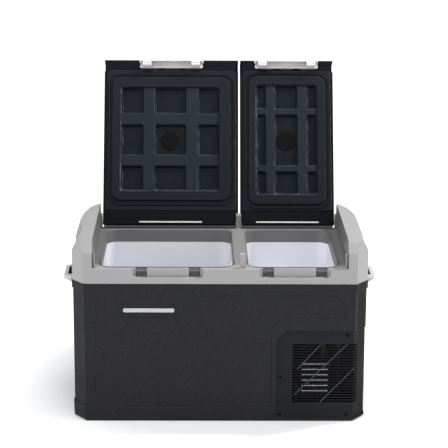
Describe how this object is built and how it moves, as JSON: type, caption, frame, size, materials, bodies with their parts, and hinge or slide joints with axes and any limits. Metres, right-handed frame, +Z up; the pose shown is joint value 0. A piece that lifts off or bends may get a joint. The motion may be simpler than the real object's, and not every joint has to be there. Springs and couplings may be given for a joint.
{
  "type": "compressor cooler fridge",
  "caption": "Portable compressor cooler with a chamfered body, grey collar with raised side walls, side-by-side hinged lids with pull latches, deep and shallow tubs and a slatted machine bay.",
  "frame": {"origin": "centre of the flat underside of the body", "axes": "+X to the right of a person facing the front, +Y towards the hinged back, +Z up; the front with the badge and vent faces -Y"},
  "size_m": [0.736, 0.6331, 0.7649],
  "materials": {
    "body_plastic": "fine-textured charcoal",
    "collar_plastic": "satin light grey",
    "lid_plastic": "fine-textured near-black",
    "lid_liner_plastic": "satin near-black",
    "latch_plastic": "satin light grey",
    "liner_plastic": "smooth white",
    "foam": "rigid closed-cell foam",
    "gasket_rubber": "soft matt black",
    "foot_rubber": "matt black",
    "grip_rubber": "matt black",
    "vent_plastic": "fine-textured black",
    "screw_steel": "black zinc",
    "pin_steel": "ground",
    "spring_steel": "drawn",
    "badge_metal": "satin",
    "panel_gloss": "gloss black",
    "display_glass": "smoked",
    "button_rubber": "soft touch",
    "circuit_board": "solder mask",
    "lamp_lens": "frosted",
    "sensor_plastic": "white",
    "compressor_paint": "black enamel",
    "bracket_steel": "zinc plated",
    "stator_steel": "laminated",
    "rotor_steel": "machined",
    "pump_iron": "machined casting",
    "fin_aluminium": "rolled",
    "driver_aluminium": "die cast",
    "copper": "drawn copper",
    "evaporator_tube": "drawn",
    "fan_plastic": "satin black",
    "cable": "sheathed",
    "socket_plastic": "satin black"
  },
  "bodies": {
    "cabinet": {"outer_shell": "body_plastic", "rubber_feet": "foot_rubber", "collar_frame": "collar_plastic", "insulation_foam": "foam", "liner_left": "liner_plastic", "liner_right": "liner_plastic", "evaporator_left": "evaporator_tube", "evaporator_right": "evaporator_tube", "vent_cover": "vent_plastic", "body_screws": "screw_steel", "handle_left": "latch_plastic", "handle_right": "latch_plastic", "handle_grips": "grip_rubber", "badge_plate": "badge_metal", "control_bezel": "panel_gloss", "display_lens": "display_glass", "control_board": "circuit_board", "power_inlet": "socket_plastic", "driver_box": "driver_aluminium", "wiring_loom": "cable", "compressor_lower_shell": "compressor_paint", "compressor_upper_shell": "compressor_paint", "compressor_stator": "stator_steel", "compressor_pump_block": "pump_iron", "compressor_grommets": "foot_rubber", "compressor_bracket": "bracket_steel", "condenser_fins": "fin_aluminium", "condenser_tube": "copper", "fan_frame": "fan_plastic", "filter_drier": "copper", "suction_line": "copper", "discharge_line": "copper", "temperature_sensors": "sensor_plastic", "interior_lamps": "lamp_lens"},
    "compressor_rotor": {"compressor_rotor": "rotor_steel"},
    "fan_impeller": {"fan_impeller": "fan_plastic"},
    "button_power": {"button_power": "button_rubber"},
    "button_set": {"button_set": "button_rubber"},
    "button_up": {"button_up": "button_rubber"},
    "button_down": {"button_down": "button_rubber"},
    "lid_left": {"lid_left_shell": "lid_plastic", "lid_left_inner_panel": "lid_liner_plastic", "lid_left_foam": "foam", "lid_left_gasket": "gasket_rubber", "lid_left_plug": "lid_liner_plastic", "lid_left_hinge_trim": "latch_plastic", "hinge_pins_left": "pin_steel", "latch_pin_left": "pin_steel", "latch_springs_left": "spring_steel"},
    "latch_left": {"latch_left": "latch_plastic"},
    "lid_right": {"lid_right_shell": "lid_plastic", "lid_right_inner_panel": "lid_liner_plastic", "lid_right_foam": "foam", "lid_right_gasket": "gasket_rubber", "lid_right_plug": "lid_liner_plastic", "lid_right_hinge_trim": "latch_plastic", "hinge_pins_right": "pin_steel", "latch_pin_right": "pin_steel", "latch_springs_right": "spring_steel"},
    "latch_right": {"latch_right": "latch_plastic"}
  },
  "joints": [
    {"name": "lid_left_hinge", "type": "hinge", "parent": "cabinet", "child": "lid_left", "pos_m": [-0.11925, 0.207, 0.3745], "axis": [1, 0, 0], "range_deg": [0, 114]},
    {"name": "latch_left_pivot", "type": "hinge", "parent": "lid_left", "child": "latch_left", "pos_m": [-0.11925, 0.37939, 0.74326], "axis": [-1, 0, 0], "range_deg": [0, 20]},
    {"name": "lid_right_hinge", "type": "hinge", "parent": "cabinet", "child": "lid_right", "pos_m": [0.17075, 0.207, 0.3745], "axis": [1, 0, 0], "range_deg": [0, 114]},
    {"name": "latch_right_pivot", "type": "hinge", "parent": "lid_right", "child": "latch_right", "pos_m": [0.17075, 0.37939, 0.74326], "axis": [-1, 0, 0], "range_deg": [0, 20]},
    {"name": "fan_spin", "type": "hinge", "parent": "cabinet", "child": "fan_impeller", "pos_m": [0.31, -0.046, 0.102], "axis": [1, 0, 0], "continuous": true},
    {"name": "rotor_spin", "type": "hinge", "parent": "cabinet", "child": "compressor_rotor", "pos_m": [0.222, 0.1, 0.08], "axis": [0, 0, 1], "continuous": true},
    {"name": "button_power_press", "type": "slide", "parent": "cabinet", "child": "button_power", "axis": [-1, 0, 0], "range_m": [0, 0.0008]},
    {"name": "button_set_press", "type": "slide", "parent": "cabinet", "child": "button_set", "axis": [-1, 0, 0], "range_m": [0, 0.0008]},
    {"name": "button_up_press", "type": "slide", "parent": "cabinet", "child": "button_up", "axis": [-1, 0, 0], "range_m": [0, 0.0008]},
    {"name": "button_down_press", "type": "slide", "parent": "cabinet", "child": "button_down", "axis": [-1, 0, 0], "range_m": [0, 0.0008]}
  ]
}
